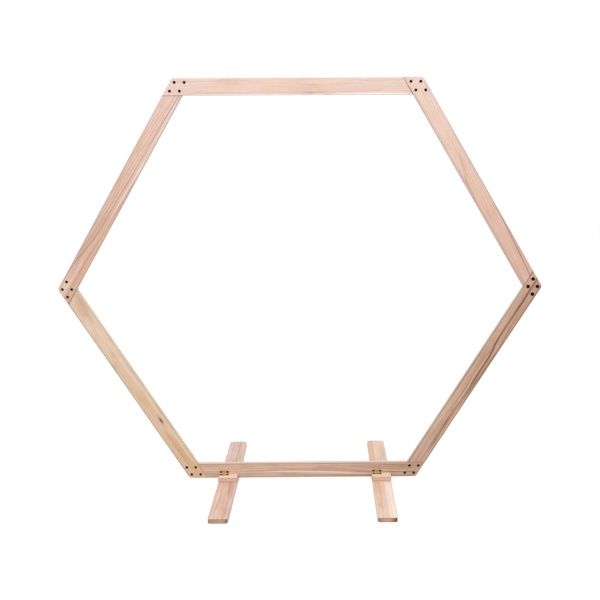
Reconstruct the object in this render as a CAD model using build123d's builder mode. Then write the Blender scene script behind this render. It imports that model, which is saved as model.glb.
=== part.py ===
from build123d import *
import math
import os

# A six-sided backdrop stand of flat boards, half-lapped at the corners, standing on two feet.
# X runs along the bottom rail, Y runs from front to back, Z is up.
# The origin is on the floor, halfway along the feet, under the middle of the bottom rail.

# Frame boards
board_length = 1100.0
board_width = 74.0
board_thickness = 20.0
# Inner angle of the frame at its left and right points; 120 gives a regular hexagon
side_corner_angle = 117.7
tip_radius = 18.0
board_ease = 1.2
shoulder_gap = 0.6
# The frame stands a little in front of the feet's middle
frame_forward = 7.0

# Countersunk screw holes through the front half of each lap
lap_hole_radius = 3.3
lap_seat_radius = 6.9
countersink_angle = 90.0
# The frame's right point has larger screws
right_hole_radius = 4.5
right_seat_radius = 9.1

# Feet
foot_length = 815.0
foot_width = 90.0
foot_thickness = 20.0
foot_corner_radius = 13.0
foot_ease = 1.5
# From the bottom corners of the frame to the middle of each foot
left_foot_inset = 190.0
right_foot_inset = 169.0

# Blocks on the feet, against the bottom rail
block_depth = 45.0
block_height = 20.0
block_ease = 1.0

# Brass hinges in the corner between the bottom rail and the front blocks
hinge_width = 44.0
hinge_shift = -21.0
leaf_reach = 15.0
leaf_thickness = 1.8
leaf_corner_radius = 1.5
barrel_radius = 2.6
pin_radius = 1.3
pin_overhang = 0.6
pin_clearance = 0.05
knuckle_count = 3
knuckle_gap = 0.3
hinge_screw_spacing = 32.0
hinge_screw_reach = 8.8
leaf_hole_radius = 1.7

half_thickness = board_thickness / 2
frame_y = -frame_forward
front_y = frame_y - half_thickness
slant = math.radians(side_corner_angle / 2)
half_top = board_length / 2
half_middle = half_top + board_length * math.cos(slant)
half_height = board_length * math.sin(slant)
frame_centre_z = foot_thickness + half_height
left_foot_x = left_foot_inset - half_top
right_foot_x = half_top - right_foot_inset
block_top = foot_thickness + block_height

# The frame's outer corners, clockwise from the top left as seen from the front
corners = [
    Vector(-half_top, frame_centre_z + half_height),
    Vector(half_top, frame_centre_z + half_height),
    Vector(half_middle, frame_centre_z),
    Vector(half_top, frame_centre_z - half_height),
    Vector(-half_top, frame_centre_z - half_height),
    Vector(-half_middle, frame_centre_z),
]

# Each board starts at the corner of the same number and runs clockwise
board_names = [
    "top_rail",
    "right_upper_rail",
    "right_lower_rail",
    "bottom_rail",
    "left_lower_rail",
    "left_upper_rail",
]


def edge_line(board, inset):
    """The outer edge of a board moved inwards: a point on it and its direction."""
    start = corners[board % len(corners)]
    end = corners[(board + 1) % len(corners)]
    along = (end - start).normalized()
    inwards = Vector(along.Y, -along.X)
    return start + inwards * inset, along


def crossing(first, second):
    """The point where two lines of the frame's face meet."""
    first_point, first_along = first
    second_point, second_along = second
    spread = first_along.X * second_along.Y - first_along.Y * second_along.X
    apart = second_point - first_point
    distance = (apart.X * second_along.Y - apart.Y * second_along.X) / spread
    return first_point + first_along * distance


def layer_outline(board, front):
    """The four points of a board's front or back half, which has a tongue at one end only."""
    shoulder = board_width + shoulder_gap
    start_inset = 0 if front else shoulder
    end_inset = shoulder if front else 0
    start_cut = edge_line(board - 1, start_inset)
    end_cut = edge_line(board + 1, end_inset)
    outer = edge_line(board, 0)
    inner = edge_line(board, board_width)
    return [
        crossing(outer, start_cut),
        crossing(outer, end_cut),
        crossing(inner, end_cut),
        crossing(inner, start_cut),
    ]


def facing(x, y, z):
    """A plane at a point, facing the front."""
    return Plane(origin=(x, y, z), x_dir=(1, 0, 0), z_dir=(0, -1, 0))


def lap_hole_planes(corner):
    """Four screw places on the front of the lap where two boards meet at a corner."""
    insets = [board_width / 4, board_width * 3 / 4]
    places = []
    for before_inset in insets:
        for after_inset in insets:
            point = crossing(edge_line(corner - 1, before_inset), edge_line(corner, after_inset))
            places.append(facing(point.X, front_y, point.Y))
    return places


def hinge_planes(foot_x):
    """The hinge leaves' planes: on the rail's front face, then on the block's top face."""
    hinge_x = foot_x + hinge_shift
    on_rail = facing(hinge_x, front_y, block_top + barrel_radius)
    on_block = Plane(
        origin=(hinge_x, front_y - barrel_radius, block_top),
        x_dir=(-1, 0, 0),
        z_dir=(0, 0, 1),
    )
    return on_rail, on_block


def frame_board(board):
    """One frame board: front tongue at its start, back tongue at its end."""
    end_corner = (board + 1) % len(corners)
    middle = Plane.XZ.offset(frame_forward)
    with BuildPart() as rail:
        front_points = layer_outline(board, front=True)
        with BuildSketch(middle) as front_half:
            with BuildLine():
                Polyline(*front_points, close=True)
            make_face()
            fillet(front_half.vertices().sort_by_distance(corners[board])[0], tip_radius)
        extrude(amount=half_thickness)
        back_points = layer_outline(board, front=False)
        with BuildSketch(middle) as back_half:
            with BuildLine():
                Polyline(*back_points, close=True)
            make_face()
            fillet(back_half.vertices().sort_by_distance(corners[end_corner])[0], tip_radius)
        extrude(amount=-half_thickness)

        along = edge_line(board, 0)[1]
        long_edges = rail.edges().filter_by(Axis((0, 0, 0), (along.X, 0, along.Y)))
        face_edges = long_edges.filter_by(lambda edge: abs(edge.center().Y - frame_y) > half_thickness / 2)
        chamfer(face_edges, board_ease)

        at_right_point = board_names[board] == "right_lower_rail"
        hole_radius = right_hole_radius if at_right_point else lap_hole_radius
        seat_radius = right_seat_radius if at_right_point else lap_seat_radius
        with Locations(*lap_hole_planes(board)):
            CounterSinkHole(hole_radius, seat_radius, half_thickness, countersink_angle)
    return rail.part


def foot(foot_x):
    """A flat foot board from front to back, with rounded corners and eased top edges."""
    with BuildPart() as board:
        with BuildSketch(Plane.XY):
            with Locations((foot_x, 0)):
                RectangleRounded(foot_width, foot_length, foot_corner_radius)
        extrude(amount=foot_thickness)
        chamfer(board.faces().sort_by(Axis.Z)[-1].edges(), foot_ease)
    return board.part


def block(foot_x, side):
    """A block on a foot, against the rail's front face (side -1) or back face (side 1)."""
    centre_y = frame_y + side * (half_thickness + block_depth / 2)
    with BuildPart() as wood:
        with BuildSketch(Plane.XY.offset(foot_thickness)):
            with Locations((foot_x, centre_y)):
                Rectangle(foot_width, block_depth)
        extrude(amount=block_height)
        top_edges = wood.faces().sort_by(Axis.Z)[-1].edges()
        toward_rail = top_edges.sort_by(Axis.Y)[-1 if side < 0 else 0]
        away = wood.faces().sort_by(Axis.Y)[0 if side < 0 else -1]
        eased = [edge for edge in top_edges if edge != toward_rail]
        chamfer(eased + away.edges().filter_by(Axis.Z), block_ease)
    return wood.part


def hinge_leaf(plane, knuckles):
    """A leaf lying on a plane, with its knuckles round the axis over the plane's X axis."""
    pitch = hinge_width / knuckle_count
    plate_start = barrel_radius + knuckle_gap
    with BuildPart(plane) as leaf:
        with BuildSketch(plane) as plate:
            with Locations((0, (plate_start + leaf_reach) / 2)):
                Rectangle(hinge_width, leaf_reach - plate_start)
            fillet(plate.vertices().sort_by(Axis.Y)[-2:], leaf_corner_radius)
        extrude(amount=leaf_thickness)
        for knuckle in knuckles:
            knuckle_x = (knuckle + 0.5) * pitch - hinge_width / 2
            with BuildSketch(plane):
                with Locations((knuckle_x, plate_start / 2)):
                    Rectangle(pitch - knuckle_gap, plate_start)
            extrude(amount=leaf_thickness)
            with Locations((knuckle_x, 0, barrel_radius)):
                Cylinder(barrel_radius, pitch - knuckle_gap, rotation=(0, 90, 0))
        with Locations((0, 0, barrel_radius)):
            Cylinder(pin_radius + pin_clearance, hinge_width * 2, rotation=(0, 90, 0), mode=Mode.SUBTRACT)
        with Locations((0, hinge_screw_reach, leaf_thickness)):
            with GridLocations(hinge_screw_spacing, 0, 2, 1):
                Hole(leaf_hole_radius, leaf_thickness)
    return leaf.part


def hinge_pin(foot_x):
    """The pin through a hinge's knuckles."""
    centre = (foot_x + hinge_shift, front_y - barrel_radius, block_top + barrel_radius)
    with BuildPart() as pin:
        with Locations(centre):
            Cylinder(pin_radius, hinge_width + 2 * pin_overhang, rotation=(0, 90, 0))
    return pin.part


def save(part, name):
    part.label = name
    export_step(part, f"parts/{name}.step")


os.makedirs("parts", exist_ok=True)

for board, name in enumerate(board_names):
    save(frame_board(board), name)

for side_name, foot_x in (("left", left_foot_x), ("right", right_foot_x)):
    save(foot(foot_x), f"{side_name}_foot")
    save(block(foot_x, -1), f"{side_name}_front_block")
    save(block(foot_x, 1), f"{side_name}_back_block")
    rail_plane, block_plane = hinge_planes(foot_x)
    save(hinge_leaf(rail_plane, range(0, knuckle_count, 2)), f"{side_name}_hinge_rail_leaf")
    save(hinge_leaf(block_plane, range(1, knuckle_count, 2)), f"{side_name}_hinge_block_leaf")
    save(hinge_pin(foot_x), f"{side_name}_hinge_pin")
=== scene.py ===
import math

import bmesh
import bpy
from mathutils import Matrix, Vector


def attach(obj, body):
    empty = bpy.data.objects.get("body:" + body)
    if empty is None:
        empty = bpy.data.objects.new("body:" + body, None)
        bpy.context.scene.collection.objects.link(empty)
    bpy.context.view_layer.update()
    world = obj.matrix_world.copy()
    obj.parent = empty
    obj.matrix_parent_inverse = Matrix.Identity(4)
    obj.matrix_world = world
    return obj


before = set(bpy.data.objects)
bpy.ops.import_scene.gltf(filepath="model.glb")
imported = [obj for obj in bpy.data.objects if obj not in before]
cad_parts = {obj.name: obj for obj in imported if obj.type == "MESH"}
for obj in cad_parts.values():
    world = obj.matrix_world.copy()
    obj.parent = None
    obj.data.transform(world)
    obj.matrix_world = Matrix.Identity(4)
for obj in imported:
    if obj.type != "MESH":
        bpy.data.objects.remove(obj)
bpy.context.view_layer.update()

# The looks of a six-sided backdrop stand: pale sawn wood, brass hinges and dark screws

# Sizes of the frame, in millimetres, as in the part's source
BOARD_LENGTH = 1100.0
BOARD_WIDTH = 74.0
BOARD_THICKNESS = 20.0
SIDE_CORNER_ANGLE = 117.7
SHOULDER_GAP = 0.6
FRAME_FORWARD = 7.0

# Feet and blocks
FOOT_LENGTH = 815.0
FOOT_WIDTH = 90.0
FOOT_THICKNESS = 20.0
FOOT_X = {"left": -360.0, "right": 381.0}
BLOCK_DEPTH = 45.0
BLOCK_HEIGHT = 20.0

# Screws at the laps, with sockets for a hexagon key; those at the right point are larger
CORNER_HEAD_RADIUS = 6.75
CORNER_SHANK_RADIUS = 3.0
CORNER_KEY_WIDTH = 4.0
CORNER_SOCKET_DEPTH = 2.5
RIGHT_HEAD_RADIUS = 8.95
RIGHT_SHANK_RADIUS = 4.0
RIGHT_KEY_WIDTH = 5.0
RIGHT_SOCKET_DEPTH = 3.3
CORNER_SCREW_LENGTH = 18.0
CORNER_SCREW_SINK = 0.15
COUNTERSINK_ANGLE = 90.0
HEAD_RIM = 0.25
# From a board's edge, as shares of its width
LAP_SCREW_SHARES = (0.25, 0.75)

# Hinges and their screws
HINGE_SHIFT = -21.0
HINGE_SCREW_SPACING = 32.0
HINGE_SCREW_REACH = 8.8
LEAF_THICKNESS = 1.8
BARREL_RADIUS = 2.6
HINGE_HEAD_RADIUS = 4.5
HINGE_HEAD_HEIGHT = 1.7
HINGE_SHANK_RADIUS = 1.5
HINGE_SCREW_LENGTH = 14.0
HINGE_RECESS_DEPTH = 0.9

MILLIMETRE = 0.001
MILLIMETRES_IN_METRE = 1000.0
RELIEF_STRENGTH = 0.5

slant = math.radians(SIDE_CORNER_ANGLE / 2)
half_top = BOARD_LENGTH / 2
half_middle = half_top + BOARD_LENGTH * math.cos(slant)
half_height = BOARD_LENGTH * math.sin(slant)
frame_centre_z = FOOT_THICKNESS + half_height
front_y = -FRAME_FORWARD - BOARD_THICKNESS / 2
block_top = FOOT_THICKNESS + BLOCK_HEIGHT

# The frame's outer corners, clockwise from the top left as seen from the front
corners = [
    Vector((-half_top, frame_centre_z + half_height)),
    Vector((half_top, frame_centre_z + half_height)),
    Vector((half_middle, frame_centre_z)),
    Vector((half_top, frame_centre_z - half_height)),
    Vector((-half_top, frame_centre_z - half_height)),
    Vector((-half_middle, frame_centre_z)),
]
corner_names = ["top_left", "top_right", "right", "bottom_right", "bottom_left", "left"]

# Each board starts at the corner of the same number and runs clockwise
board_names = [
    "top_rail",
    "right_upper_rail",
    "right_lower_rail",
    "bottom_rail",
    "left_lower_rail",
    "left_upper_rail",
]


def linear(hex_colour):
    """A colour as it looks on the screen, written in hex, as Blender's linear numbers."""
    parts = [int(hex_colour[i:i + 2], 16) / 255 for i in (0, 2, 4)]
    values = [c / 12.92 if c <= 0.04045 else ((c + 0.055) / 1.055) ** 2.4 for c in parts]
    return (*values, 1.0)


def board_axes(board):
    """A board's outer start corner, its direction and the direction inwards, in the frame's face."""
    start = corners[board % len(corners)]
    end = corners[(board + 1) % len(corners)]
    along = (end - start).normalized()
    return start, along, Vector((along.y, -along.x))


class Graph:
    """The nodes of a material or of the world, with a method for each kind that is used.

    A value given to a method is a number, a colour or the output of another node.
    """

    def __init__(self, owner, output_kind="ShaderNodeOutputMaterial"):
        owner.use_nodes = True
        self.owner = owner
        self.tree = owner.node_tree
        self.tree.nodes.clear()
        self.output = self.add(output_kind)

    def add(self, kind, **settings):
        made = self.tree.nodes.new(kind)
        for key, value in settings.items():
            setattr(made, key, value)
        return made

    def feed(self, socket, value):
        if isinstance(value, bpy.types.NodeSocket):
            self.tree.links.new(value, socket)
        else:
            socket.default_value = value

    def math(self, operation, first, second=0.0, clamp=False):
        made = self.add("ShaderNodeMath", operation=operation, use_clamp=clamp)
        self.feed(made.inputs[0], first)
        self.feed(made.inputs[1], second)
        return made.outputs[0]

    def plus(self, first, second):
        return self.math("ADD", first, second)

    def minus(self, first, second):
        return self.math("SUBTRACT", first, second)

    def times(self, first, second):
        return self.math("MULTIPLY", first, second)

    def over(self, first, second):
        return self.math("DIVIDE", first, second)

    def object_place(self, factor=1.0):
        """The place on the object in metres, times a factor."""
        made = self.add("ShaderNodeVectorMath", operation="SCALE")
        self.feed(made.inputs[0], self.add("ShaderNodeTexCoord").outputs["Object"])
        made.inputs["Scale"].default_value = factor
        return made.outputs["Vector"]

    def vector(self, operation, first, second):
        made = self.add("ShaderNodeVectorMath", operation=operation)
        self.feed(made.inputs[0], first)
        self.feed(made.inputs[1], second)
        return made.outputs["Vector"]

    def dot(self, vector, direction):
        made = self.add("ShaderNodeVectorMath", operation="DOT_PRODUCT")
        self.feed(made.inputs[0], vector)
        self.feed(made.inputs[1], direction)
        return made.outputs["Value"]

    def combine(self, x, y, z):
        made = self.add("ShaderNodeCombineXYZ")
        for socket, value in zip(made.inputs, (x, y, z)):
            self.feed(socket, value)
        return made.outputs[0]

    def noise(self, vector, detail, roughness=0.5):
        made = self.add("ShaderNodeTexNoise")
        self.feed(made.inputs["Vector"], vector)
        made.inputs["Scale"].default_value = 1.0
        made.inputs["Detail"].default_value = detail
        made.inputs["Roughness"].default_value = roughness
        return made.outputs["Fac"]

    def cloud(self, places, sizes, shift, detail, roughness=0.5):
        """Noise over three places, drawn out to a size each. The shift gives each cloud its own form."""
        x, y, z = (self.over(place, size) for place, size in zip(places, sizes))
        return self.noise(self.combine(x, y, self.plus(z, shift)), detail, roughness)

    def swing(self, noise, reach):
        """A noise as a shift to both sides."""
        return self.times(self.minus(noise, 0.5), reach)

    def span(self, value, low, high):
        """0 where the value is at low and 1 where it is at high."""
        made = self.add("ShaderNodeMapRange")
        made.interpolation_type = "SMOOTHSTEP"
        self.feed(made.inputs["Value"], value)
        flip = low > high
        made.inputs["From Min"].default_value = min(low, high)
        made.inputs["From Max"].default_value = max(low, high)
        made.inputs["To Min"].default_value = 1.0 if flip else 0.0
        made.inputs["To Max"].default_value = 0.0 if flip else 1.0
        return made.outputs["Result"]

    def facing(self, direction, limits):
        """1 on the faces that lie square to a direction, on either side, and 0 on the others."""
        normal = self.add("ShaderNodeNewGeometry").outputs["Normal"]
        return self.span(self.math("ABSOLUTE", self.dot(normal, direction)), *limits)

    def ramp(self, value, stops):
        made = self.add("ShaderNodeValToRGB")
        self.feed(made.inputs[0], value)
        made.color_ramp.interpolation = "B_SPLINE" if len(stops) > 2 else "LINEAR"
        elements = made.color_ramp.elements
        while len(elements) < len(stops):
            elements.new(0.5)
        for element, (place, colour) in zip(elements, stops):
            element.position = place
            element.color = linear(colour)
        return made.outputs["Color"]

    def curve(self, value, points):
        """A smooth line through points, each given as (value, result), all from 0 to 1."""
        made = self.add("ShaderNodeFloatCurve")
        self.feed(made.inputs["Value"], value)
        line = made.mapping.curves[0]
        while len(line.points) < len(points):
            line.points.new(0.5, 0.5)
        for point, place in zip(line.points, points):
            point.location = place
            point.handle_type = "AUTO_CLAMPED"
        made.mapping.extend = "HORIZONTAL"
        made.mapping.update()
        return made.outputs[0]

    def mix(self, amount, first, second, blend="MIX"):
        made = self.add("ShaderNodeMix", data_type="RGBA", blend_type=blend)
        self.feed(made.inputs["Factor"], amount)
        self.feed(made.inputs["A"], first)
        self.feed(made.inputs["B"], second)
        return made.outputs["Result"]

    def seen(self):
        """1 where the surface is looked at, also in a reflection or through glass, and 0 for light."""
        rays = self.add("ShaderNodeLightPath").outputs
        reflected = self.math("MAXIMUM", rays["Is Glossy Ray"], rays["Is Transmission Ray"])
        return self.math("MAXIMUM", rays["Is Camera Ray"], reflected)

    def surface(self, height, relief, **inputs):
        """The finished surface. The height raises it by up to the relief, in metres."""
        bump = self.add("ShaderNodeBump")
        bump.inputs["Strength"].default_value = RELIEF_STRENGTH
        bump.inputs["Distance"].default_value = relief
        self.feed(bump.inputs["Height"], height)
        made = self.add("ShaderNodeBsdfPrincipled")
        for key, value in inputs.items():
            self.feed(made.inputs[key.replace("_", " ")], value)
        self.feed(made.inputs["Normal"], bump.outputs[0])
        self.feed(self.output.inputs["Surface"], made.outputs[0])


def dress(piece, material):
    piece.data.materials.clear()
    piece.data.materials.append(material)


# Wood. Lengths are in millimetres, but for the relief, and seeds and shifts only tell patterns apart.
# A pair of numbers says at what value of its pattern an effect starts, and at what value it is full.

# The grain's patterns, long along the board and narrow across it
GRAIN_LENGTH = 260.0
GRAIN_WIDTH = 7.0
GRAIN_SHIFT = 3.0
DARK_GRAIN = (0.5, 0.78)
LIGHT_GRAIN = (0.5, 0.25)
FINE_GRAIN_LENGTH = 60.0
FINE_GRAIN_WIDTH = 1.6
DARK_FINE = (0.5, 0.8)
PORE_LENGTH = 9.0
PORE_WIDTH = 0.35
DARK_PORES = (0.6, 0.76)
PORE_STRENGTH = 0.4
FIGURE_LENGTH = 90.0
FIGURE_WIDTH = 30.0
FIGURE_SHIFT = 7.0
DARK_FIGURE = (0.5, 0.75)
LIGHT_FIGURE = (0.5, 0.25)

# Growth rings: a slow rise to the dark line, then a sharp fall, with thin ones where the grain is dark
RING_WARP_LENGTH = 420.0
RING_TILT = 0.6
RING_RISE = (0.25, 0.93)
RING_FALL = (1.0, 0.93)
THIN_RING = 2.7
THIN_RISE = (0.45, 0.9)
THIN_FALL = (1.0, 0.92)
THIN_WHERE = (0.35, 0.65)

# Slow drift of the hue
HUE_LENGTH = 64.0
HUE_WIDTH = 20.0
HUE_SHIFT = 13.0
GOLDEN = "fff7df"
GOLDEN_LIMITS = (0.48, 0.7)
PINK = "fff2ff"
PINK_LIMITS = (0.52, 0.3)

# Streaks wander with the fine grain, break up with it, and are full in their core. Knots are ragged.
WANDER = 3.0
STREAK_CORE = 0.15
STREAK_BREAKS = 0.8
STREAK_BASE = 0.45
KNOT_RAGGED = 0.7
KNOT_CORE = (1.0, 0.35)
KNOT_HALO = (1.9, 1.0)
KNOT_HALO_SHARE = 0.3

# Edges, the narrow sides and the shoulder: painted shade along the edges, painted light on the narrow
# sides, and painted shade beside a shoulder, which is stronger at one edge
EDGE_REACH = 4.2
WIDE_FACE = (0.5, 0.8)
SIDE_FACE = (0.6, 0.85)
SHOULDER_SHADE = 4.5
SHOULDER_SOFT = 0.5
SEAM_START = 0.15
SEAM_END = 0.7

# End grain: rings round a heart beyond the board, specks, and a dark rim
END_FACE = (0.45, 0.75)
HEART_SHARE = 0.4
HEART_DEPTH = 45.0
END_RING = 3.2
END_RING_WAVE = 3.0
END_RING_RISE = (0.3, 0.95)
SPECK = 0.7
SPECK_LIMITS = (0.55, 0.75)
SPECK_STRENGTH = 0.35
END_EDGE = (4.0, 0.5)
END_EDGE_STRENGTH = 0.6

# Gloss and relief
WOOD_ROUGHNESS = 0.56
WOOD_ROUGHNESS_SPREAD = 0.16
WOOD_SPECULAR = 0.28
WOOD_RELIEF = 0.0003
FINE_RELIEF = 0.6
PORE_RELIEF = 0.4
RING_RELIEF = 0.3


class Wood(Graph):
    """Sawn wood with its grain along a board.

    u runs along the board, v across it from its outer edge and w into its depth, in millimetres.
    """

    def __init__(self, name, origin, axes, length, width, look, seed):
        super().__init__(bpy.data.materials.new(name))
        self.place = self.object_place(MILLIMETRES_IN_METRE)
        from_origin = self.vector("SUBTRACT", self.place, origin)
        self.u, self.v, self.w = (self.dot(from_origin, axis) for axis in axes)
        self.axes = axes
        self.length = length
        self.width = width
        self.u_share = self.over(self.u, length)
        self.v_inset = self.math("MINIMUM", self.v, self.minus(width, self.v))
        self.look = look
        self.seed = seed
        self.dark = linear(look["dark"])
        self.light = linear(look["light"])
        self.draw_grain()

    def from_spot(self, spot):
        """The distance from a spot's middle in reaches: across the board, and the whole one squared."""
        middle_u, middle_v, reach_u, reach_v = spot
        off_u = self.over(self.minus(self.u, middle_u), reach_u)
        off_v = self.over(self.minus(self.v, middle_v), reach_v)
        return off_v, self.plus(self.times(off_u, off_u), self.times(off_v, off_v))

    def soft_spot(self, squared):
        """1 in a spot's middle, fading to 0."""
        return self.math("EXPONENT", self.times(squared, -1.0))

    def draw_grain(self):
        """The patterns of the grain, which bend aside round each knot."""
        u, v, w, look = self.u, self.v, self.w, self.look
        bent = v
        for *spot, push in look.get("bends", []):
            off_v, squared = self.from_spot(spot)
            bent = self.plus(bent, self.times(self.times(self.soft_spot(squared), off_v), push))

        warp_sizes = (RING_WARP_LENGTH, BOARD_WIDTH, BOARD_WIDTH)
        warp = self.swing(self.cloud((u, v, w), warp_sizes, self.seed, detail=2.0), look["warp"])
        ring_place = self.plus(self.plus(bent, warp), self.times(u, look["slope"]))
        ring_place = self.plus(ring_place, self.times(w, RING_TILT))
        ring = self.math("FRACT", self.over(ring_place, look["ring"]))
        self.ring_line = self.times(self.span(ring, *RING_RISE), self.span(ring, *RING_FALL))

        grain_u = self.over(u, GRAIN_LENGTH)
        grain_v = self.over(ring_place, GRAIN_WIDTH)
        self.broad = self.noise(self.combine(grain_u, grain_v, self.seed + GRAIN_SHIFT), detail=3.0)
        fine_sizes = (FINE_GRAIN_LENGTH, FINE_GRAIN_WIDTH, GRAIN_WIDTH)
        self.fine = self.cloud((u, ring_place, w), fine_sizes, self.seed, detail=4.0, roughness=0.6)
        self.wander = self.swing(self.fine, WANDER)
        pore_sizes = (PORE_LENGTH, PORE_WIDTH, PORE_WIDTH * 2)
        self.pores = self.cloud((u, bent, w), pore_sizes, self.seed, detail=1.0)

        thin_ring = self.math("FRACT", self.over(ring_place, THIN_RING))
        thin_line = self.times(self.span(thin_ring, *THIN_RISE), self.span(thin_ring, *THIN_FALL))
        self.thin_line = self.times(thin_line, self.span(self.broad, *THIN_WHERE))

    def ground(self):
        """The board's colour with its grain."""
        u, v, w, look = self.u, self.v, self.w, self.look
        colour = self.ramp(self.u_share, look["tones"])
        if "inner" in look:
            tint, from_v, to_v, amount = look["inner"]
            colour = self.mix(self.times(self.span(v, from_v, to_v), amount), colour, linear(tint))
        for tint, *spot, amount in look.get("patches", []):
            _, squared = self.from_spot(spot)
            colour = self.mix(self.times(self.soft_spot(squared), amount), colour, linear(tint))

        figure_sizes = (FIGURE_LENGTH, FIGURE_WIDTH, FIGURE_WIDTH)
        figure = self.cloud((u, v, w), figure_sizes, self.seed + FIGURE_SHIFT, detail=3.0)
        layers = [
            (self.span(figure, *DARK_FIGURE), look["figure"], self.dark),
            (self.span(figure, *LIGHT_FIGURE), look["figure"], self.light),
            (self.ring_line, look["ring_strength"], self.dark),
            (self.span(self.broad, *DARK_GRAIN), look["grain"], self.dark),
            (self.span(self.broad, *LIGHT_GRAIN), look["grain"], self.light),
            (self.span(self.fine, *DARK_FINE), look["fine"], self.dark),
            (self.thin_line, look["thin"], self.dark),
            (self.span(self.pores, *DARK_PORES), PORE_STRENGTH, self.dark),
        ]
        for where, strength, tint in layers:
            colour = self.mix(self.times(where, strength), colour, tint)
        return colour

    def hue_drift(self, colour):
        """The hue drifts between golden and pink along the board."""
        hue_sizes = (HUE_LENGTH, HUE_WIDTH, HUE_WIDTH)
        hue = self.cloud((self.u, self.v, self.w), hue_sizes, self.seed + HUE_SHIFT, detail=2.0)
        golden = self.times(self.span(hue, *GOLDEN_LIMITS), self.look["golden"])
        pink = self.times(self.span(hue, *PINK_LIMITS), self.look["pink"])
        colour = self.mix(golden, colour, linear(GOLDEN), "MULTIPLY")
        return self.mix(pink, colour, linear(PINK), "MULTIPLY")

    def streaks(self, colour):
        broken = self.plus(self.times(self.fine, STREAK_BREAKS), STREAK_BASE)
        for tint, thick, path, strength in self.look.get("streaks", []):
            course = self.curve(self.u_share, [(u / self.length, v / self.width) for u, v in path])
            offset = self.plus(self.minus(self.v, self.times(course, self.width)), self.wander)
            body = self.span(self.math("ABSOLUTE", offset), thick, thick * STREAK_CORE)
            presence = self.curve(self.u_share, [(u / self.length, amount) for u, amount in strength])
            amount = self.math("MULTIPLY", self.times(body, presence), broken, clamp=True)
            colour = self.mix(amount, colour, linear(tint))
        return colour

    def knots(self, colour):
        ragged = self.swing(self.fine, KNOT_RAGGED)
        for tint, *spot, amount in self.look.get("knots", []):
            _, squared = self.from_spot(spot)
            far = self.plus(self.math("SQRT", squared), ragged)
            halo = self.times(self.span(far, *KNOT_HALO), amount * KNOT_HALO_SHARE)
            core = self.times(self.span(far, *KNOT_CORE), amount)
            colour = self.mix(halo, colour, self.dark)
            colour = self.mix(core, colour, linear(tint))
        return colour

    def edges(self, colour):
        """Painted shade along the edges of the wide faces, standing for the shading of rounded edges, and
        painted light on the narrow sides.
        """
        _, across, deep = self.axes
        # Along the edges of the wide faces the edge tone paints the shading of rounded edges: a darker
        # shade on most boards, a pale tone on the top rail.
        edge = self.span(self.plus(self.v_inset, self.wander), EDGE_REACH, 0.0)
        edge = self.times(edge, self.facing(deep, WIDE_FACE))
        colour = self.mix(self.times(edge, self.look["edge"]), colour, linear(self.look["edge_shading_tone"]))
        # Painted light on the narrow sides, which are mixed towards a pale tone.
        side = self.times(self.facing(across, SIDE_FACE), self.look["side"])
        return self.mix(side, colour, linear(self.look["side_light_tone"]))

    def shoulder_shade(self, colour, next_start, next_in, reach):
        """Painted shade where the board runs under the next one: a dark line at the shoulder and a soft
        shade beside it.
        """
        # The tint is painted shade in the gap at the shoulder.
        tint, outer_amount, inner_amount = self.look["seam_shade"]
        beyond = self.dot(self.vector("SUBTRACT", self.place, next_start), next_in)
        beyond = self.minus(beyond, reach)
        line = self.times(self.span(beyond, SHOULDER_SHADE, 0.0), self.span(beyond, -SHOULDER_SOFT, 0.0))
        inward = self.span(self.v, self.width * SEAM_START, self.width * SEAM_END)
        amount = self.plus(self.times(inward, inner_amount - outer_amount), outer_amount)
        return self.mix(self.times(line, amount), colour, linear(tint))

    def ends(self, colour):
        """Rings across the cut ends, which are darker than the long faces."""
        v, w, look = self.v, self.w, self.look
        arc_v = self.minus(v, self.width * HEART_SHARE)
        arc_w = self.plus(w, HEART_DEPTH)
        arc = self.math("SQRT", self.plus(self.times(arc_v, arc_v), self.times(arc_w, arc_w)))
        arc = self.plus(arc, self.times(self.broad, END_RING_WAVE))
        arc_line = self.span(self.math("FRACT", self.over(arc, END_RING)), *END_RING_RISE)
        end_colour = self.mix(arc_line, linear(look["end_light"]), linear(look["end_dark"]))
        # On the feet, the end tones paint shade across the cut end, darker towards its rounded corners.
        if "end_shade_tones" in look:
            corner_shade = self.ramp(self.over(v, self.width), look["end_shade_tones"])
            end_colour = self.mix(1.0, end_colour, corner_shade, "MULTIPLY")
        speck_place = self.combine(self.over(v, SPECK), self.over(w, SPECK), self.seed)
        specks = self.span(self.noise(speck_place, detail=1.0), *SPECK_LIMITS)
        end_colour = self.mix(self.times(specks, SPECK_STRENGTH), end_colour, linear(look["end_dark"]))
        w_inset = self.math("MINIMUM", w, self.minus(look["depth"], w))
        inset = self.plus(self.math("MINIMUM", w_inset, self.v_inset), self.wander)
        rim = self.times(self.span(inset, *END_EDGE), END_EDGE_STRENGTH)
        end_colour = self.mix(rim, end_colour, linear(look["end_rim"]))
        return self.mix(self.facing(self.axes[0], END_FACE), colour, end_colour)

    def finish(self, colour):
        height = self.plus(self.times(self.fine, FINE_RELIEF), self.times(self.pores, PORE_RELIEF))
        height = self.minus(height, self.times(self.ring_line, RING_RELIEF))
        self.surface(
            height,
            WOOD_RELIEF,
            Base_Color=colour,
            Roughness=self.plus(self.times(self.fine, WOOD_ROUGHNESS_SPREAD), WOOD_ROUGHNESS),
            Specular_IOR_Level=WOOD_SPECULAR,
        )


def wood(name, origin, axes, length, width, look, seed, shoulder=None):
    """The material of one board, from its axes along, across and into it."""
    board = Wood(name, origin, axes, length, width, dict(PLAIN, **look), seed)
    colour = board.ground()
    colour = board.hue_drift(colour)
    colour = board.streaks(colour)
    colour = board.knots(colour)
    colour = board.edges(colour)
    if shoulder:
        colour = board.shoulder_shade(colour, *shoulder)
    board.finish(board.ends(colour))
    return board.owner
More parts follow.
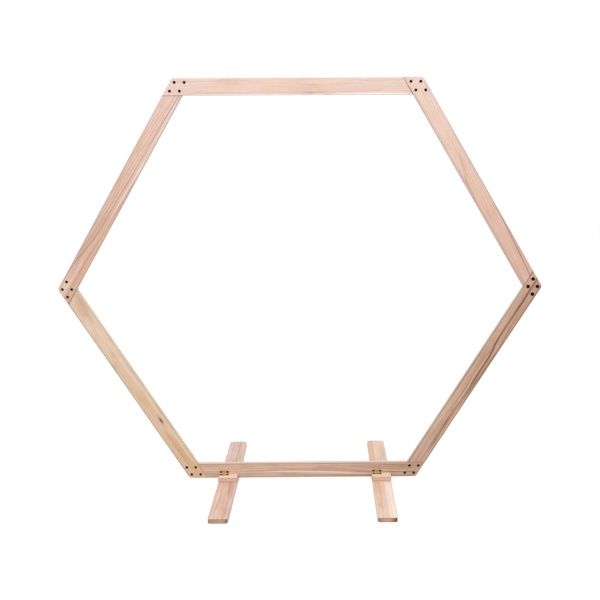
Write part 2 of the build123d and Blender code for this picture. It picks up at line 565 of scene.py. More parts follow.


# How the boards look. Places are in millimetres, along the board and across it from its outer edge.
# Tones are the ground colour at shares of the board's length; end tones, across a cut end, are painted
# shade that darkens towards its rounded corners.
# An inner tone has its tint, the places across where it starts and is full, and its strength.
# A streak has its tint and half its thickness, its path, and its strength at places along the board.
# A patch or a knot has its tint, its middle, its reach along and across, and its strength.
# A bend has a knot's middle and reach, and how far it pushes the grain aside.
# The seam shade is painted shade beside a shoulder: its tint, and its strength at the outer and the inner
# edge.
# PLAIN holds what a look leaves out.
PLAIN = dict(
    warp=26.0,
    slope=0.0,
    ring_strength=0.12,
    grain=0.2,
    fine=0.25,
    thin=0.22,
    figure=0.18,
    golden=0.45,
    pink=0.4,
    # The edge tone is painted shade along the edges of the wide faces, and the side tone is painted light
    # on the narrow sides.
    edge=0.3,
    edge_shading_tone="b39582",
    side=0.45,
    side_light_tone="f6e8de",
    end_light="d8b191",
    end_dark="bd9370",
    end_rim="8f6444",
    depth=20.0,
)

looks = {}
looks["top_rail"] = dict(
    tones=[(0.0, "e0cac0"), (0.35, "e4ccbe"), (0.6, "e0c6b7"), (1.0, "e4cec5")],
    dark="cda187",
    light="f4dfd2",
    warp=60.0,
    ring=13.0,
    edge=0.35,
    edge_shading_tone="f1ddd1",
    streaks=[
        ("d2a488", 3.0, [(0, 66), (560, 68), (640, 64), (700, 70)],
         [(0, 0.1), (520, 0.6), (640, 0.9), (720, 0.0)]),
        ("c9a692", 2.6, [(80, 62), (350, 62), (600, 61), (800, 59), (1010, 58)],
         [(60, 0.0), (160, 0.6), (500, 0.6), (640, 0.4), (800, 0.7), (1010, 0.4)]),
        ("fbf1ea", 4.6, [(80, 73), (600, 73), (800, 71), (1010, 70)],
         [(60, 0.0), (160, 0.6), (640, 0.6), (780, 0.8), (980, 0.8), (1040, 0.2)]),
    ],
    knots=[("c4977a", 606, 64, 24, 5, 0.6)],
    bends=[(640, 52, 70, 26, 16)],
    seam_shade=("6e5648", 0.45, 0.9),
    patches=[
        ("e0bda9", 150, 62, 90, 16, 0.5),
        ("e3c0a8", 236, 34, 24, 26, 0.4),
        ("dfb99d", 272, 22, 20, 8, 0.5),
        ("e9ceb6", 440, 24, 60, 26, 0.5),
        ("dcb498", 628, 38, 26, 14, 0.6),
        ("f3dfd2", 622, 50, 10, 5, 0.6),
        ("f7ece4", 880, 78, 170, 12, 0.9),
        ("f7ece4", 420, 79, 160, 10, 0.8),
    ],
)
looks["right_upper_rail"] = dict(
    tones=[(0.0, "ebd2c6"), (0.35, "e4c6b5"), (0.7, "dfbeaa"), (1.0, "d4af9a")],
    dark="b98a70",
    light="f1dccf",
    slope=-0.1,
    ring=11.0,
    ring_strength=0.16,
    thin=0.1,
    fine=0.18,
    edge=0.6,
    edge_shading_tone="b08f80",
    seam_shade=("54382b", 0.95, 0.35),
    streaks=[
        ("956750", 4.0, [(640, 1), (789, 8), (889, 13), (943, 17), (1030, 23)],
         [(600, 0.0), (760, 0.6), (900, 0.85), (1030, 0.8)]),
        ("c99473", 9.0, [(380, 34), (450, 46), (500, 60), (560, 66)],
         [(340, 0.0), (430, 0.5), (520, 0.55), (620, 0.0)]),
        ("c29479", 3.0, [(760, 58), (900, 56), (1050, 62)], [(720, 0.0), (900, 0.5), (1050, 0.6)]),
        # The last two streaks run straight along the edges and are painted shade along them.
        ("a08478", 5.0, [(60, 2), (550, 2), (1040, 2)],
         [(60, 0.2), (300, 0.4), (560, 0.6), (760, 0.8), (860, 0.5), (960, 0.1)]),
        ("a88a7b", 3.4, [(60, 67), (550, 67), (1040, 67)],
         [(60, 0.3), (300, 0.4), (560, 0.6), (1000, 0.5)]),
    ],
)
looks["right_lower_rail"] = dict(
    tones=[(0.0, "cba590"), (0.3, "cfaa91"), (0.65, "d6b197"), (1.0, "d1ad97")],
    dark="84563d",
    light="e3c7b2",
    inner=("dcbda7", 42.0, 60.0, 0.5),
    warp=18.0,
    ring=8.0,
    ring_strength=0.34,
    grain=0.36,
    edge=0.65,
    edge_shading_tone="94705c",
    seam_shade=("8a6350", 0.45, 0.2),
    streaks=[
        ("764729", 8.5,
         [(0, 40), (110, 37), (260, 38), (330, 35), (400, 26), (540, 24), (610, 19), (700, 23), (880, 22)],
         [(0, 0.7), (110, 0.95), (250, 0.75), (340, 0.95),
          (560, 0.8), (700, 0.45), (860, 0.5), (960, 0.0)]),
        ("7d5238", 12.0, [(430, 17), (520, 15), (600, 16), (700, 16)],
         [(380, 0.0), (500, 0.3), (600, 0.3), (720, 0.0)]),
        ("6a4636", 2.4, [(10, 7), (90, 6), (200, 6)], [(0, 0.9), (120, 0.6), (240, 0.0)]),
        ("84563e", 3.5, [(150, 24), (240, 18), (400, 8), (480, 8), (560, 11), (640, 8)],
         [(120, 0.0), (240, 0.7), (420, 0.9), (560, 0.8), (660, 0.0)]),
        ("855a42", 2.6, [(400, 44), (520, 45), (600, 37), (700, 38)],
         [(380, 0.0), (520, 0.7), (620, 0.6), (740, 0.0)]),
        ("8a5c45", 3.0, [(60, 8), (160, 6), (300, 3)], [(40, 0.6), (200, 0.5), (320, 0.2)]),
        ("9b6f57", 2.6, [(700, 48), (900, 50), (1060, 44)], [(660, 0.0), (880, 0.5), (1060, 0.5)]),
        ("e8cdb9", 3.0, [(420, 31), (520, 32), (620, 28), (700, 31)],
         [(380, 0.0), (480, 0.8), (620, 0.8), (720, 0.0)]),
        # The next two streaks run straight along the edges and are painted shade along them.
        ("6f5a4e", 5.0, [(120, 1), (550, 1), (1040, 1)],
         [(100, 0.3), (420, 0.6), (560, 1.0), (860, 1.0), (1040, 0.9)]),
        ("735c4f", 4.0, [(80, 71), (550, 71), (1040, 71)],
         [(80, 0.3), (300, 0.5), (560, 0.9), (700, 0.6), (1000, 0.4)]),
    ],
    patches=[
        ("e6c9b3", 800, 60, 160, 14, 0.6),
        ("c3987a", 310, 58, 70, 12, 0.5),
        ("d2a682", 470, 56, 60, 8, 0.15),
        ("dcbba4", 980, 18, 80, 14, 0.6),
        ("bb9179", 850, 38, 90, 10, 0.5),
        ("a8714c", 538, 17, 26, 9, 0.5),
        ("ab7953", 790, 24, 34, 8, 0.7),
    ],
)
looks["bottom_rail"] = dict(
    tones=[(0.0, "cca892"), (0.25, "debaa3"), (0.6, "e4c3ac"), (1.0, "dbbba2")],
    dark="8f6148",
    light="edd2be",
    warp=10.0,
    ring=12.0,
    ring_strength=0.26,
    grain=0.28,
    edge=0.6,
    edge_shading_tone="94705a",
    seam_shade=("8f7058", 0.25, 0.4),
    streaks=[
        ("f7e0cf", 4.6, [(200, 17), (300, 19), (400, 25), (500, 27), (620, 30), (740, 31)],
         [(180, 0.0), (300, 0.7), (480, 1.0), (640, 0.9), (760, 0.0)]),
        ("6d4432", 2.8, [(20, 26), (90, 25), (170, 26), (300, 28)],
         [(10, 0.5), (60, 0.9), (220, 0.9), (330, 0.0)]),
        ("7d5440", 2.8, [(20, 42), (120, 42), (180, 44), (260, 46)],
         [(10, 0.4), (70, 0.9), (170, 0.8), (300, 0.0)]),
        ("7d5440", 2.6, [(20, 53), (200, 53), (350, 53), (620, 56)],
         [(10, 0.4), (70, 0.8), (300, 0.5), (400, 0.15), (660, 0.0)]),
        ("7a4f3c", 2.6, [(20, 63), (210, 62), (420, 61), (640, 64)],
         [(10, 0.4), (70, 0.9), (210, 0.6), (400, 0.25), (680, 0.0)]),
        # This streak and the next one run straight along the edges and are painted shade along them.
        ("5c4033", 3.4, [(0, 3), (110, 3), (1100, 3)],
         [(0, 0.15), (60, 0.9), (118, 0.9), (200, 0.7),
          (560, 0.5), (850, 0.65), (1000, 0.35), (1090, 0.2)]),
        ("8f705f", 3.6, [(60, 71), (550, 71), (1040, 71)],
         [(60, 0.3), (200, 0.7), (400, 0.7), (560, 0.4), (840, 0.3), (1040, 0.2)]),
        ("b38a75", 7.0, [(240, 36), (440, 38), (640, 42)],
         [(220, 0.0), (340, 0.7), (560, 0.6), (720, 0.0)]),
        ("a87c66", 6.0, [(200, 8), (330, 9), (620, 12)], [(180, 0.0), (240, 0.9), (480, 0.5), (680, 0.0)]),
    ],
    patches=[("ecccb5", 560, 58, 260, 9, 0.6), ("c09a86", 980, 16, 60, 16, 0.6),
             ("e9c6bb", 1000, 37, 40, 5, 0.8)],
)
looks["left_lower_rail"] = dict(
    tones=[(0.0, "ddb892"), (0.15, "e3c1a0"), (0.35, "e6c9a8"), (0.7, "e9d0b9"), (1.0, "dabfaa")],
    dark="b88d60",
    light="f1dfc6",
    warp=40.0,
    ring=15.0,
    ring_strength=0.14,
    figure=0.3,
    golden=0.2,
    edge=0.4,
    edge_shading_tone="a08878",
    seam_shade=("6f4c3d", 0.9, 0.6),
    streaks=[
        # These two streaks run straight along the edges and are painted shade along them.
        ("8c6f60", 5.0, [(0, 1), (550, 1), (1100, 1)], [(0, 0.9), (500, 0.8), (1040, 1.0)]),
        ("b9a08c", 2.4, [(0, 70), (550, 70), (1100, 70)], [(60, 0.1), (160, 0.3), (600, 0.35), (900, 0.3)]),
        ("f0dcc6", 3.4, [(80, 59), (450, 60), (680, 53), (900, 52)],
         [(60, 0.0), (160, 0.7), (480, 0.8), (700, 0.6), (900, 0.0)]),
    ],
    knots=[("7a4b36", 320, 47, 24, 7, 0.95)],
    bends=[(319, 46, 60, 18, 12)],
    patches=[
        ("ecd0b0", 170, 62, 130, 8, 0.7),
        ("e6c6ae", 190, 12, 120, 9, 0.7),
        ("d3a67c", 150, 40, 100, 12, 0.75),
        ("d2a880", 228, 34, 26, 8, 0.5),
        ("e6c6b4", 319, 40, 50, 18, 0.6),
        ("dcb084", 450, 32, 64, 20, 0.65),
        ("dcb496", 658, 22, 34, 18, 0.6),
        ("dcb490", 555, 30, 30, 16, 0.5),
        ("dab094", 975, 26, 36, 16, 0.6),
        ("cd9f7e", 985, 58, 55, 12, 0.8),
    ],
)
looks["left_upper_rail"] = dict(
    tones=[(0.0, "d5b3a0"), (0.35, "dab7a5"), (0.7, "e0c2b2"), (1.0, "e4cbbf")],
    dark="b3836b",
    light="f0d8ca",
    slope=-0.06,
    ring=12.0,
    ring_strength=0.28,
    edge=0.42,
    edge_shading_tone="b3a096",
    seam_shade=("9c7258", 0.6, 0.8),
    streaks=[
        ("9c6c54", 3.4,
         [(90, 5), (180, 14), (250, 28), (350, 39), (540, 45), (700, 51), (900, 57), (1047, 63)],
         [(80, 0.3), (180, 0.8), (330, 0.9), (450, 0.5), (600, 0.7), (720, 0.4), (880, 0.8), (1050, 0.7)]),
        ("9e6e56", 3.2, [(0, 47), (100, 48), (200, 51), (300, 58), (450, 68), (620, 72)],
         [(0, 0.3), (120, 0.5), (220, 0.6), (420, 0.45), (640, 0.2)]),
        ("c39878", 7.0, [(0, 50), (60, 50), (120, 52), (200, 56)], [(0, 0.6), (90, 0.5), (220, 0.0)]),
        ("b28069", 2.6, [(190, 6), (330, 22), (480, 30), (700, 38)],
         [(160, 0.0), (330, 0.6), (560, 0.4), (760, 0.0)]),
        ("b58873", 2.4, [(760, 36), (900, 42), (1030, 47)], [(720, 0.0), (900, 0.5), (1040, 0.5)]),
        ("dca985", 12.0, [(0, 60), (120, 60), (220, 62), (360, 67)], [(0, 0.5), (220, 0.6), (420, 0.0)]),
        ("f6e2d6", 3.6, [(440, 56), (580, 62), (760, 68)], [(400, 0.0), (560, 0.9), (800, 0.0)]),
        ("eadbd2", 4.0, [(600, 71), (850, 71), (1040, 70)],
         [(580, 0.0), (700, 0.6), (1000, 0.6), (1050, 0.2)]),
        # This streak runs straight along the outer edge and is painted shade along it.
        ("a89085", 4.0, [(100, 3), (500, 3), (900, 3)],
         [(80, 0.3), (200, 0.6), (520, 0.6), (800, 0.4), (1000, 0.2)]),
    ],
    patches=[
        ("ecd3c6", 900, 66, 170, 9, 0.6),
        ("e8cdbd", 160, 36, 80, 9, 0.6),
        ("ecd6cc", 30, 20, 90, 22, 0.85),
        ("e9d0c4", 940, 74, 160, 5, 0.5),
    ],
)

FIRST_SEED = 1.7
SEED_STEP = 11.3

for board, name in enumerate(board_names):
    start, along, inwards = board_axes(board)
    next_start, _, next_in = board_axes(board + 1)
    axes = ((along.x, 0.0, along.y), (inwards.x, 0.0, inwards.y), (0.0, 1.0, 0.0))
    shoulder = (
        (next_start.x, 0.0, next_start.y),
        (next_in.x, 0.0, next_in.y),
        BOARD_WIDTH + SHOULDER_GAP,
    )
    material = wood(
        name + "_wood",
        (start.x, front_y, start.y),
        axes,
        BOARD_LENGTH,
        BOARD_WIDTH,
        looks[name],
        board * SEED_STEP + FIRST_SEED,
        shoulder,
    )
    dress(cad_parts[name], material)

foot_looks = {}
foot_looks["left"] = dict(
    tones=[(0.0, "e0c7ba"), (0.25, "dcb9a9"), (0.55, "e0c6b9"), (1.0, "e6d0c7")],
    dark="bb8b74",
    light="f4e0d4",
    slope=0.02,
    warp=40.0,
    ring=17.0,
    ring_strength=0.2,
    figure=0.3,
    end_light="cfab88",
    end_dark="b28b68",
    end_rim="5e3f28",
    # The end tones are painted shade, darker towards the rounded corners of the cut end.
    end_shade_tones=[(0.0, "e8e4dc"), (0.4, "fffaf0"), (0.72, "ffffff"),
               (0.86, "fff6e0"), (0.95, "8c7a6c"), (1.0, "7c6c60")],
    streaks=[
        ("c1907a", 6.0, [(60, 22), (200, 30), (330, 26)], [(40, 0.3), (200, 0.6), (360, 0.3)]),
        ("b98468", 7.0, [(220, 66), (320, 60), (380, 58)], [(180, 0.0), (320, 0.7), (400, 0.6)]),
        ("f5e6dc", 4.0, [(40, 80), (180, 85), (360, 86)], [(30, 0.3), (200, 0.4), (380, 0.5)]),
    ],
    patches=[
        # The first patch is painted shade on the foot's top in front of its front block.
        ("b98a72", 339, 45, 7, 90, 0.38),
        ("cc9f88", 70, 72, 70, 18, 0.75),
        ("cb9c83", 300, 70, 90, 16, 0.75),
        ("f0dbd0", 240, 24, 60, 14, 0.6),
        ("dcb9a8", 700, 74, 120, 14, 0.5),
    ],
)
foot_looks["right"] = dict(
    tones=[(0.0, "e6d0c1"), (0.3, "e7cbb7"), (0.55, "eacbb4"), (1.0, "eed4c1")],
    dark="cb976f",
    light="fbefe4",
    inner=("f9ede5", 44.0, 66.0, 0.8),
    warp=30.0,
    ring=15.0,
    ring_strength=0.2,
    end_light="dcc0a8",
    end_dark="c4a58c",
    end_rim="8c6850",
    # The end tones are painted shade, darker towards the rounded corners of the cut end.
    end_shade_tones=[(0.0, "b0a098"), (0.18, "d8c8c0"), (0.4, "fff0ea"),
               (0.68, "f4e0d8"), (0.84, "96786a"), (1.0, "8a6a5c")],
    streaks=[
        ("d9a67c", 7.0, [(100, 26), (240, 30), (390, 22)], [(60, 0.2), (240, 0.7), (390, 0.8)]),
        ("cf9a70", 4.0, [(250, 10), (330, 12), (400, 10)], [(200, 0.0), (320, 0.7), (400, 0.7)]),
    ],
    knots=[("c79a76", 118, 20, 16, 5, 0.5), ("cda27f", 96, 30, 12, 4, 0.4)],
    patches=[
        # The first patch is painted shade on the foot's top in front of its front block.
        ("c0906c", 339, 45, 7, 90, 0.6),
        ("dfba9f", 660, 74, 150, 24, 0.7),
        ("dcb193", 300, 24, 110, 20, 0.55),
        ("f6e2d2", 660, 42, 120, 8, 0.6),
    ],
)
block_look = dict(
    tones=[(0.0, "efd9cd"), (1.0, "ecd3c5")],
    dark="cfa48a",
    light="f7e8de",
    warp=20.0,
    ring=14.0,
    ring_strength=0.16,
    edge_shading_tone="c7a48f",
    end_light="e2c3ab",
    end_dark="cfa689",
    end_rim="8f6546",
)

# On a foot and its blocks the grain runs from front to back, and the depth goes down from the top
FOOT_AXES = ((0.0, 1.0, 0.0), (1.0, 0.0, 0.0), (0.0, 0.0, -1.0))
FOOT_SEED = {"left": 31.0, "right": 57.0}
FRONT_BLOCK_SEED_STEP = 3.0
BACK_BLOCK_SEED_STEP = 7.0

for side, foot_x in FOOT_X.items():
    foot_edge = foot_x - FOOT_WIDTH / 2
    foot_wood = wood(
        side + "_foot_wood",
        (foot_edge, -FOOT_LENGTH / 2, FOOT_THICKNESS),
        FOOT_AXES,
        FOOT_LENGTH,
        FOOT_WIDTH,
        foot_looks[side],
        FOOT_SEED[side],
    )
    dress(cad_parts[side + "_foot"], foot_wood)
    block_places = (
        ("front", front_y - BLOCK_DEPTH, FRONT_BLOCK_SEED_STEP),
        ("back", front_y + BOARD_THICKNESS, BACK_BLOCK_SEED_STEP),
    )
    for place, block_start, seed_step in block_places:
        name = f"{side}_{place}_block"
        block_wood = wood(
            name + "_wood",
            (foot_edge, block_start, block_top),
            FOOT_AXES,
            BLOCK_DEPTH,
            FOOT_WIDTH,
            block_look,
            FOOT_SEED[side] + seed_step,
        )
        dress(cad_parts[name], block_wood)


# Metals. The scratches are long along X and many across it, to the metre.

SPECKS_IN_MILLIMETRE = 2.2
SCRATCH_STRETCH = (220.0, 5200.0, 5200.0)
SPOT_LIMITS = (0.45, 0.75)
METAL_SPECK_LIMITS = (0.62, 0.78)
METAL_SPECK_SHARE = 0.6
CLOUD_ROUGHNESS = 0.22
SCRATCH_ROUGHNESS = 0.08
CLOUD_RELIEF = 0.5
METAL_RELIEF = 0.00008


def metal(name, clean, worn, metallic, roughness, spot_size, spot_amount, specular):
    """Metal with cloudy wear, small spots and fine scratches. The spots' size is in millimetres."""
    graph = Graph(bpy.data.materials.new(name))
    cloud_place = graph.object_place(MILLIMETRES_IN_METRE / spot_size)
    cloud = graph.noise(cloud_place, detail=4.0, roughness=0.6)
    speck_place = graph.object_place(MILLIMETRES_IN_METRE * SPECKS_IN_MILLIMETRE)
    speck = graph.noise(speck_place, detail=2.0)
    scratch_place = graph.vector("MULTIPLY", graph.object_place(), SCRATCH_STRETCH)
    scratch = graph.noise(scratch_place, detail=2.0)
    spots = graph.times(graph.span(cloud, *SPOT_LIMITS), spot_amount)
    colour = graph.mix(spots, linear(clean), linear(worn))
    specks = graph.times(graph.span(speck, *METAL_SPECK_LIMITS), spot_amount * METAL_SPECK_SHARE)
    colour = graph.mix(specks, colour, linear(worn))
    rough = graph.plus(graph.times(cloud, CLOUD_ROUGHNESS), roughness)
    graph.surface(
        graph.plus(scratch, graph.times(cloud, CLOUD_RELIEF)),
        METAL_RELIEF,
        Base_Color=colour,
        Metallic=metallic,
        Specular_IOR_Level=specular,
        Roughness=graph.plus(rough, graph.times(scratch, SCRATCH_ROUGHNESS)),
    )
    return graph.owner


brass = metal(
    "satin_brass",
    clean="c8aa74",
    worn="7f5e2c",
    metallic=1.0,
    roughness=0.42,
    spot_size=6.0,
    spot_amount=0.6,
    specular=0.5,
)
pin_brass = metal(
    "pin_brass",
    clean="b3945c",
    worn="6a4c22",
    metallic=1.0,
    roughness=0.42,
    spot_size=4.0,
    spot_amount=0.5,
    specular=0.5,
)
black = metal(
    "black_oxide",
    clean="1f120b",
    worn="2c1c12",
    metallic=0.0,
    roughness=0.5,
    spot_size=3.0,
    spot_amount=0.4,
    specular=0.04,
)
bronze = metal(
    "dark_bronze",
    clean="1a0d02",
    worn="0c0601",
    metallic=0.0,
    roughness=0.55,
    spot_size=2.5,
    spot_amount=0.6,
    specular=0.02,
)

for side in FOOT_X:
    dress(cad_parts[side + "_hinge_rail_leaf"], brass)
    dress(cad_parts[side + "_hinge_block_leaf"], brass)
    dress(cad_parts[side + "_hinge_pin"], pin_brass)


# Screws

CIRCLE_STEPS = 30
CROSS_WIDTH_SHARE = 0.24
CROSS_INNER_CORNER = 1.35
CROSS_TAPER = 0.55
CROSS_REACH_SHARE = 0.85
SOCKET_TAPER = 0.97
RECESS_TIP_SHARE = 0.2
THREAD_STEPS = 12
THREAD_SHARE = 0.8
THREAD_ROOT_SHARE = 0.8
SAME_POINT = 0.0001
SMOOTH_ANGLE = 35

# A round head has a flat top round its recess, and stands a hair above its leaf
ROUND_STEPS = 5
ROUND_FLAT_SHARE = 0.45
ROUND_HEAD_SEAT = 0.02
ROUND_SHANK_TOP = 0.01

# How far the screws are turned, in radians, so that their recesses don't line up
FIRST_TURN = 0.7
TURN_PER_CORNER = 1.9
TURN_PER_SCREW = 1.1
RAIL_SCREW_TURN = 0.4
BLOCK_SCREW_TURN = 0.9

FRONT = Matrix.Rotation(math.radians(90), 4, "X")


def verts_of(made):
    """The vertices that a bmesh operator made."""
    return [item for item in made["geom"] if isinstance(item, bmesh.types.BMVert)]


def open_edges(mesh):
    return [edge for edge in mesh.edges if edge.is_boundary]


def hexagon_floor(mesh, reach):
    """The floor of a socket for a hexagon key, as one face."""
    bmesh.ops.create_circle(mesh, cap_ends=True, segments=6, radius=reach)
    return mesh.faces[:]


def cross_floor(mesh, reach):
    """The floor of a cross recess: a square with a narrowing arm on each side. Gives the square."""
    arm_half_width = reach * CROSS_WIDTH_SHARE
    square_half_width = arm_half_width * CROSS_INNER_CORNER
    bmesh.ops.create_grid(mesh, x_segments=1, y_segments=1, size=square_half_width)
    square = mesh.faces[:]
    for side_edge in mesh.edges[:]:
        outward = (side_edge.verts[0].co + side_edge.verts[1].co).normalized()
        for vert in verts_of(bmesh.ops.extrude_edge_only(mesh, edges=[side_edge])):
            across = vert.co - outward * vert.co.dot(outward)
            vert.co = outward * reach + across / CROSS_INNER_CORNER
    return square


def screw_mesh(head_profile, shank_radius, length, recess_floor, reach, depth, taper):
    """A screw along -Z. The head's profile runs from its flat top outwards and down.

    The recess in the top has a floor drawn by recess_floor, walls that widen upwards from it by
    the taper, and a shallow pit in its middle.
    """
    mesh = bmesh.new()
    rim_z = head_profile[0][1]
    middle = recess_floor(mesh, reach * taper)
    pit = bmesh.ops.poke(mesh, faces=middle)["verts"]
    bmesh.ops.translate(mesh, verts=pit, vec=(0.0, 0.0, -depth * RECESS_TIP_SHARE))
    bmesh.ops.translate(mesh, verts=mesh.verts, vec=(0.0, 0.0, rim_z - depth))
    mouth = verts_of(bmesh.ops.extrude_edge_only(mesh, edges=open_edges(mesh)))
    bmesh.ops.scale(mesh, verts=mouth, vec=(1 / taper, 1 / taper, 1.0))
    bmesh.ops.translate(mesh, verts=mouth, vec=(0.0, 0.0, depth))

    # Thread: shallow rings down the shank, then a point
    head_end = head_profile[-1][1]
    thread_run = (length + head_end) * THREAD_SHARE
    profile = list(head_profile)
    for step in range(1, THREAD_STEPS * 2):
        radius = shank_radius * (1.0 if step % 2 else THREAD_ROOT_SHARE)
        profile.append((radius, head_end - thread_run * step / (THREAD_STEPS * 2)))
    profile.append((0.0, -length))
    points = [mesh.verts.new((radius, 0.0, z)) for radius, z in profile]
    lines = [mesh.edges.new(ends) for ends in zip(points, points[1:])]
    bmesh.ops.spin(
        mesh,
        geom=points + lines,
        cent=(0.0, 0.0, 0.0),
        axis=(0.0, 0.0, 1.0),
        angle=math.tau,
        steps=CIRCLE_STEPS,
        use_merge=True,
    )
    bmesh.ops.remove_doubles(mesh, verts=mesh.verts, dist=SAME_POINT)
    bmesh.ops.triangle_fill(mesh, use_beauty=True, edges=open_edges(mesh))
    bmesh.ops.recalc_face_normals(mesh, faces=mesh.faces)
    return mesh


def screws(name, template, places, material):
    """One object with a screw at each place, given as a matrix in millimetres."""
    joined = template.copy()
    first_verts = joined.verts[:]
    first = first_verts + joined.edges[:] + joined.faces[:]
    for place in places[1:]:
        copied = verts_of(bmesh.ops.duplicate(joined, geom=first))
        bmesh.ops.transform(joined, matrix=place, verts=copied)
    bmesh.ops.transform(joined, matrix=places[0], verts=first_verts)
    bmesh.ops.scale(joined, verts=joined.verts, vec=(MILLIMETRE, MILLIMETRE, MILLIMETRE))
    data = bpy.data.meshes.new(name)
    joined.to_mesh(data)
    joined.free()
    for face in data.polygons:
        face.use_smooth = True
    piece = bpy.data.objects.new(name, data)
    bpy.context.scene.collection.objects.link(piece)
    data.set_sharp_from_angle(angle=math.radians(SMOOTH_ANGLE))
    dress(piece, material)
    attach(piece, "root")


def crossing(first_point, first_along, second_point, second_along):
    """The point where two lines of the frame's face meet."""
    spread = first_along.x * second_along.y - first_along.y * second_along.x
    apart = second_point - first_point
    distance = (apart.x * second_along.y - apart.y * second_along.x) / spread
    return first_point + first_along * distance


def flat_head_screw(head_radius, shank_radius, key_width, socket_depth):
    cone_slope = math.tan(math.radians(COUNTERSINK_ANGLE / 2))
    cone_depth = (head_radius - shank_radius) / cone_slope
    profile = [
        (head_radius - HEAD_RIM, -CORNER_SCREW_SINK),
        (head_radius, -CORNER_SCREW_SINK - HEAD_RIM),
        (shank_radius, -CORNER_SCREW_SINK - HEAD_RIM - cone_depth),
    ]
    reach = key_width / math.sqrt(3)
    return screw_mesh(
        profile, shank_radius, CORNER_SCREW_LENGTH, hexagon_floor, reach, socket_depth, SOCKET_TAPER
    )


def round_head_screw():
    profile = []
    for step in range(1, ROUND_STEPS + 1):
        angle = math.radians(90) * step / ROUND_STEPS
        radius = HINGE_HEAD_RADIUS * (ROUND_FLAT_SHARE + (1 - ROUND_FLAT_SHARE) * math.sin(angle))
        profile.append((radius, HINGE_HEAD_HEIGHT * math.cos(angle)))
    profile.append((HINGE_HEAD_RADIUS, ROUND_HEAD_SEAT))
    profile.append((HINGE_SHANK_RADIUS, ROUND_SHANK_TOP))
    return screw_mesh(
        profile,
        HINGE_SHANK_RADIUS,
        HINGE_SCREW_LENGTH,
        cross_floor,
        profile[0][0] * CROSS_REACH_SHARE,
        HINGE_RECESS_DEPTH,
        CROSS_TAPER,
    )


usual_screw = flat_head_screw(
    CORNER_HEAD_RADIUS, CORNER_SHANK_RADIUS, CORNER_KEY_WIDTH, CORNER_SOCKET_DEPTH
)
right_screw = flat_head_screw(
    RIGHT_HEAD_RADIUS, RIGHT_SHANK_RADIUS, RIGHT_KEY_WIDTH, RIGHT_SOCKET_DEPTH
)
for corner, corner_name in enumerate(corner_names):
    before_start, before_along, before_in = board_axes(corner - 1)
    after_start, after_along, after_in = board_axes(corner)
    places = []
    for before_share in LAP_SCREW_SHARES:
        for after_share in LAP_SCREW_SHARES:
            point = crossing(
                before_start + before_in * BOARD_WIDTH * before_share,
                before_along,
                after_start + after_in * BOARD_WIDTH * after_share,
                after_along,
            )
            turn = FIRST_TURN + corner * TURN_PER_CORNER + len(places) * TURN_PER_SCREW
            there = Matrix.Translation((point.x, front_y, point.y))
            places.append(there @ FRONT @ Matrix.Rotation(turn, 4, "Z"))
    template = right_screw if corner_name == "right" else usual_screw
    screws(corner_name + "_corner_screws", template, places, black)

hinge_screw = round_head_screw()
for side, foot_x in FOOT_X.items():
    hinge_x = foot_x + HINGE_SHIFT
    on_rail_z = block_top + BARREL_RADIUS + HINGE_SCREW_REACH
    on_block_y = front_y - BARREL_RADIUS - HINGE_SCREW_REACH
    places = []
    for sign in (-1, 1):
        x = hinge_x + sign * HINGE_SCREW_SPACING / 2
        on_rail = Matrix.Translation((x, front_y - LEAF_THICKNESS, on_rail_z))
        places.append(on_rail @ FRONT @ Matrix.Rotation(RAIL_SCREW_TURN + sign, 4, "Z"))
        on_block = Matrix.Translation((x, on_block_y, block_top + LEAF_THICKNESS))
        places.append(on_block @ Matrix.Rotation(BLOCK_SCREW_TURN + sign, 4, "Z"))
    screws(side + "_hinge_screws", hinge_screw, places, bronze)


# Floor, light and camera, in metres

FLOOR_HALF = 14.0
FLOOR_DROP = 0.0005
FLOOR_DIFFUSE = 0.5
FLOOR_GLOW = 0.68
WORLD_LIGHT = 0.62
WHITE = (1.0, 1.0, 1.0, 1.0)

floor_mesh = bpy.data.meshes.new("floor")
floor_build = bmesh.new()
bmesh.ops.create_grid(floor_build, x_segments=1, y_segments=1, size=FLOOR_HALF)
floor_build.to_mesh(floor_mesh)
floor_build.free()
floor = bpy.data.objects.new("floor", floor_mesh)
floor.location.z = -FLOOR_DROP
bpy.context.scene.collection.objects.link(floor)

# The floor takes the shadows, and glows a little where it is looked at
pale = Graph(bpy.data.materials.new("pale_floor"))
matt = pale.add("ShaderNodeBsdfDiffuse")
matt.inputs["Color"].default_value = (FLOOR_DIFFUSE, FLOOR_DIFFUSE, FLOOR_DIFFUSE, 1.0)
glow = pale.add("ShaderNodeEmission")
pale.feed(glow.inputs["Strength"], pale.times(pale.seen(), FLOOR_GLOW))
both = pale.add("ShaderNodeAddShader")
pale.feed(both.inputs[0], matt.outputs[0])
pale.feed(both.inputs[1], glow.outputs[0])
pale.feed(pale.output.inputs["Surface"], both.outputs[0])
dress(floor, pale.owner)

# The world lights the stand softly, and is white where it is looked at
studio = Graph(bpy.data.worlds.new("studio"), "ShaderNodeOutputWorld")
bpy.context.scene.world = studio.owner
soft = studio.add("ShaderNodeBackground")
soft.inputs["Color"].default_value = WHITE
soft.inputs["Strength"].default_value = WORLD_LIGHT
backdrop = studio.add("ShaderNodeBackground")
backdrop.inputs["Color"].default_value = WHITE
blend = studio.add("ShaderNodeMixShader")
studio.feed(blend.inputs[0], studio.seen())
studio.feed(blend.inputs[1], soft.outputs[0])
studio.feed(blend.inputs[2], backdrop.outputs[0])
studio.feed(studio.output.inputs["Surface"], blend.outputs[0])


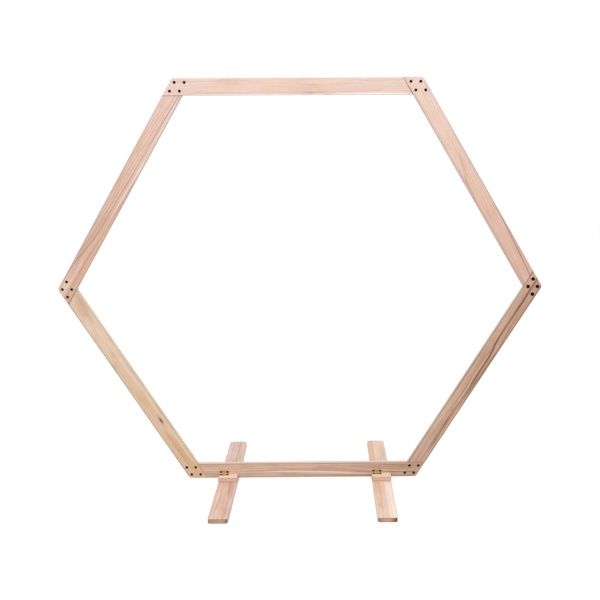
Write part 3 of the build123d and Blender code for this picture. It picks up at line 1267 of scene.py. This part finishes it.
def area_lamp(name, place, target, size, power):
    data = bpy.data.lights.new(name, "AREA")
    data.shape = "DISK"
    data.size = size
    data.energy = power
    lamp = bpy.data.objects.new(name, data)
    lamp.location = place
    lamp.rotation_mode = "QUATERNION"
    lamp.rotation_quaternion = (Vector(target) - Vector(place)).to_track_quat("-Z", "Y")
    bpy.context.scene.collection.objects.link(lamp)


area_lamp("key", place=(-2.2, -4.6, 4.6), target=(0.0, 0.0, 0.9), size=3.0, power=172.0)
area_lamp("fill", place=(3.2, -3.2, 2.4), target=(0.0, 0.0, 0.9), size=3.0, power=36.0)
area_lamp("overhead", place=(0.0, -0.4, 4.6), target=(0.0, 0.0, 0.0), size=3.0, power=30.0)

# The camera: a pinhole fitted to the screws, board edges and feet, in a picture 600 by 600 pixels
PICTURE_SIZE = 600.0
FOCAL_PIXELS = 729.4
CENTRE_X = 329.75
CENTRE_Y = 275.39
CAMERA_PLACE = Vector((0.1153, -3.3137, 1.6690))
YAW = 0.006311
PITCH_DOWN = 0.194330
ROLL = -0.005238
SENSOR_WIDTH = 36.0

level_forward = Vector((math.sin(YAW), math.cos(YAW), 0.0))
forward = level_forward * math.cos(PITCH_DOWN) + Vector((0.0, 0.0, -math.sin(PITCH_DOWN)))
level_right = Vector((math.cos(YAW), -math.sin(YAW), 0.0))
level_up = level_right.cross(forward)
right = level_right * math.cos(ROLL) + level_up * math.sin(ROLL)
up = level_up * math.cos(ROLL) - level_right * math.sin(ROLL)

camera_data = bpy.data.cameras.new("camera")
camera_data.sensor_width = SENSOR_WIDTH
camera_data.lens = FOCAL_PIXELS / PICTURE_SIZE * SENSOR_WIDTH
camera_data.shift_x = -(CENTRE_X - PICTURE_SIZE / 2) / PICTURE_SIZE
camera_data.shift_y = (CENTRE_Y - PICTURE_SIZE / 2) / PICTURE_SIZE
camera = bpy.data.objects.new("camera", camera_data)
turned = Matrix((right, up, -forward)).transposed().to_4x4()
camera.matrix_world = Matrix.Translation(CAMERA_PLACE) @ turned
bpy.context.scene.collection.objects.link(camera)
bpy.context.scene.camera = camera

bpy.context.scene.view_settings.view_transform = "Standard"
